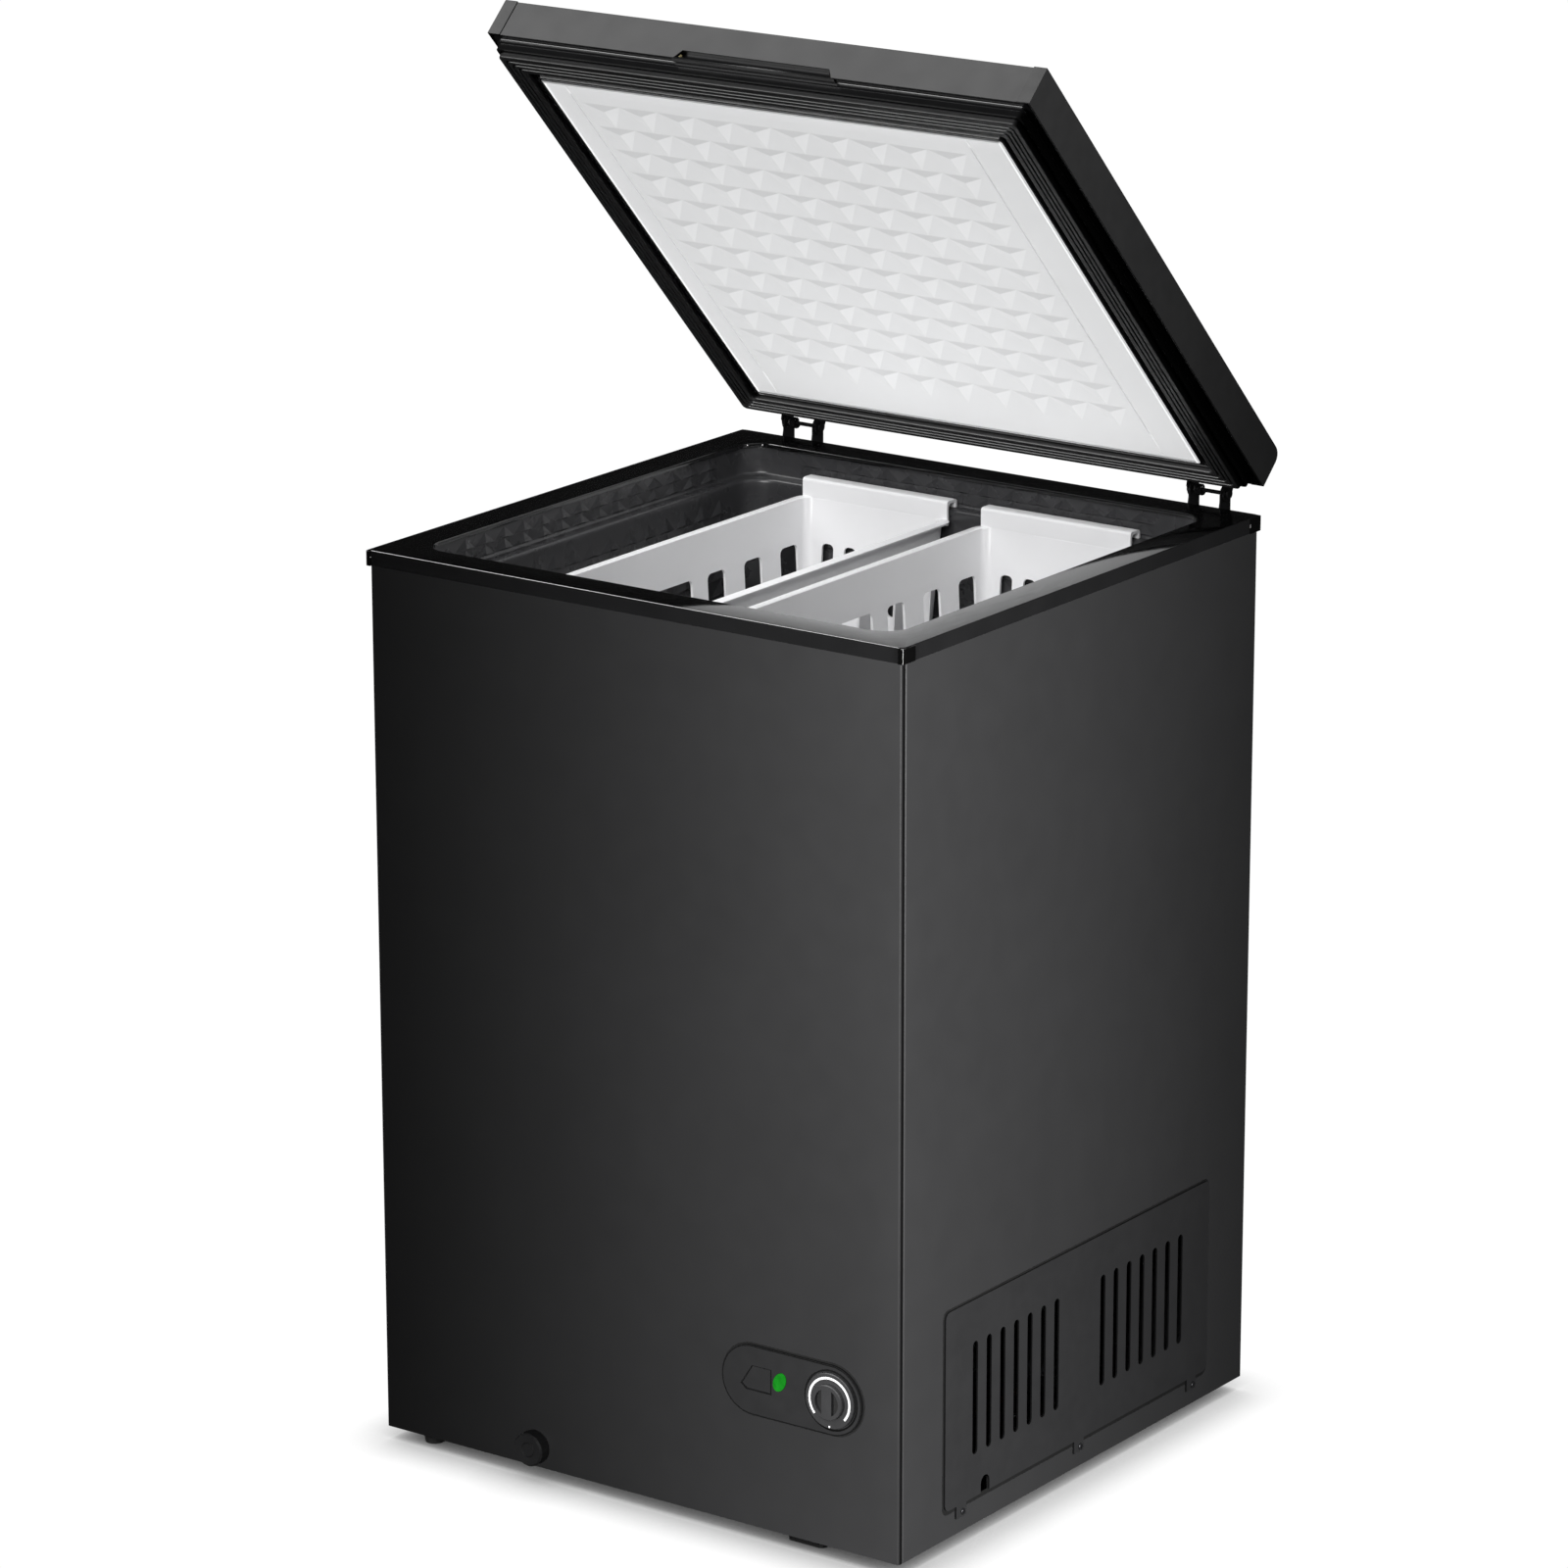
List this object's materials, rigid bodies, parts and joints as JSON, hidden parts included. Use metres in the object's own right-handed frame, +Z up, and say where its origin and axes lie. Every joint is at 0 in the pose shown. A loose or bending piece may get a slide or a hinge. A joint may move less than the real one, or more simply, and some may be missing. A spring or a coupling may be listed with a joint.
{
  "type": "chest freezer",
  "caption": "Compact chest freezer, lid raised: black cabinet and lid, embossed liner, hanging slotted baskets, thermostat knob, side vent and drain stopper.",
  "frame": {"origin": "centre of the bounding box at floor level, with the lid at its rest angle", "axes": "+X to the right along the front, +Y from the front to the hinges, +Z up"},
  "size_m": [0.5462, 0.5758, 1.2307],
  "materials": {
    "black_sheet": "satin black paint on steel sheet",
    "gloss_black": "glossy black",
    "black_plastic": "satin black moulding",
    "dark_liner": "dark grey, embossed with small triangles",
    "white_liner": "white, embossed with small triangles",
    "white_plastic": "satin white moulding",
    "foam": "rigid cream foam",
    "rubber": "matt black rubber",
    "zinc_steel": "zinc-plated steel",
    "black_enamel": "black enamel",
    "copper": "drawn copper",
    "green_lens": "clear green lens"
  },
  "bodies": {
    "cabinet": {"front_panel": "black_sheet", "left_side_panel": "black_sheet", "right_side_panel": "black_sheet", "rear_panel": "black_sheet", "top_rim": "gloss_black", "control_plate": "black_plastic", "vent_cover": "black_plastic", "relay_cover": "black_plastic", "drain_fitting": "black_plastic", "drain_tube": "black_plastic", "inner_liner": "dark_liner", "insulation_foam": "foam", "foot_front_left": "rubber", "foot_front_right": "rubber", "foot_rear_left": "rubber", "foot_rear_right": "rubber", "rubber_mount_1": "rubber", "rubber_mount_2": "rubber", "rubber_mount_3": "rubber", "rubber_mount_4": "rubber", "cord_gland": "rubber", "bottom_pan": "zinc_steel", "bay_wall": "zinc_steel", "compressor_base": "zinc_steel", "compressor_bracket": "zinc_steel", "thermostat_body": "zinc_steel", "hinge_pin_left": "zinc_steel", "hinge_pin_right": "zinc_steel", "hinge_spring_left": "zinc_steel", "hinge_spring_right": "zinc_steel", "vent_screw_1": "zinc_steel", "vent_screw_2": "zinc_steel", "vent_screw_3": "zinc_steel", "compressor_shell": "black_enamel", "hinge_bracket_left": "black_enamel", "hinge_bracket_right": "black_enamel", "filter_drier": "copper", "suction_tube": "copper", "discharge_tube": "copper", "evaporator_coil": "copper", "condenser_coil": "copper", "status_lens": "green_lens"},
    "lid": {"lid_skin": "black_sheet", "lid_cap_left": "black_plastic", "lid_cap_right": "black_plastic", "lid_frame": "black_plastic", "lid_handle": "black_plastic", "lid_foam": "foam", "lid_liner": "white_liner", "lid_gasket": "rubber", "hinge_leaf_left": "black_enamel", "hinge_leaf_right": "black_enamel"},
    "knob": {"temperature_knob": "black_plastic", "thermostat_shaft": "zinc_steel"},
    "drain_stopper": {"drain_cap": "black_plastic"},
    "basket_on_left": {"left_basket": "white_plastic"},
    "basket_on_right": {"right_basket": "white_plastic"}
  },
  "joints": [
    {"name": "lid_hinge", "type": "hinge", "parent": "cabinet", "child": "lid", "pos_m": [-0.00065, 0.26731, 0.8072], "axis": [-1, 0, 0], "range_deg": [-46.56, 33.4]},
    {"name": "knob_turn", "type": "hinge", "parent": "cabinet", "child": "knob", "pos_m": [0.20295, -0.27639, 0.1437], "axis": [0, 1, 0], "range_deg": [0, 270]},
    {"name": "drain_stopper_pull", "type": "slide", "parent": "cabinet", "child": "drain_stopper", "axis": [0, -1, 0], "range_m": [0, 0.03]},
    {"name": "left_basket_slide", "type": "slide", "parent": "cabinet", "child": "basket_on_left", "axis": [1, 0, 0], "range_m": [-0.04, 0.012]},
    {"name": "right_basket_slide", "type": "slide", "parent": "cabinet", "child": "basket_on_right", "axis": [1, 0, 0], "range_m": [-0.012, 0.04]}
  ]
}
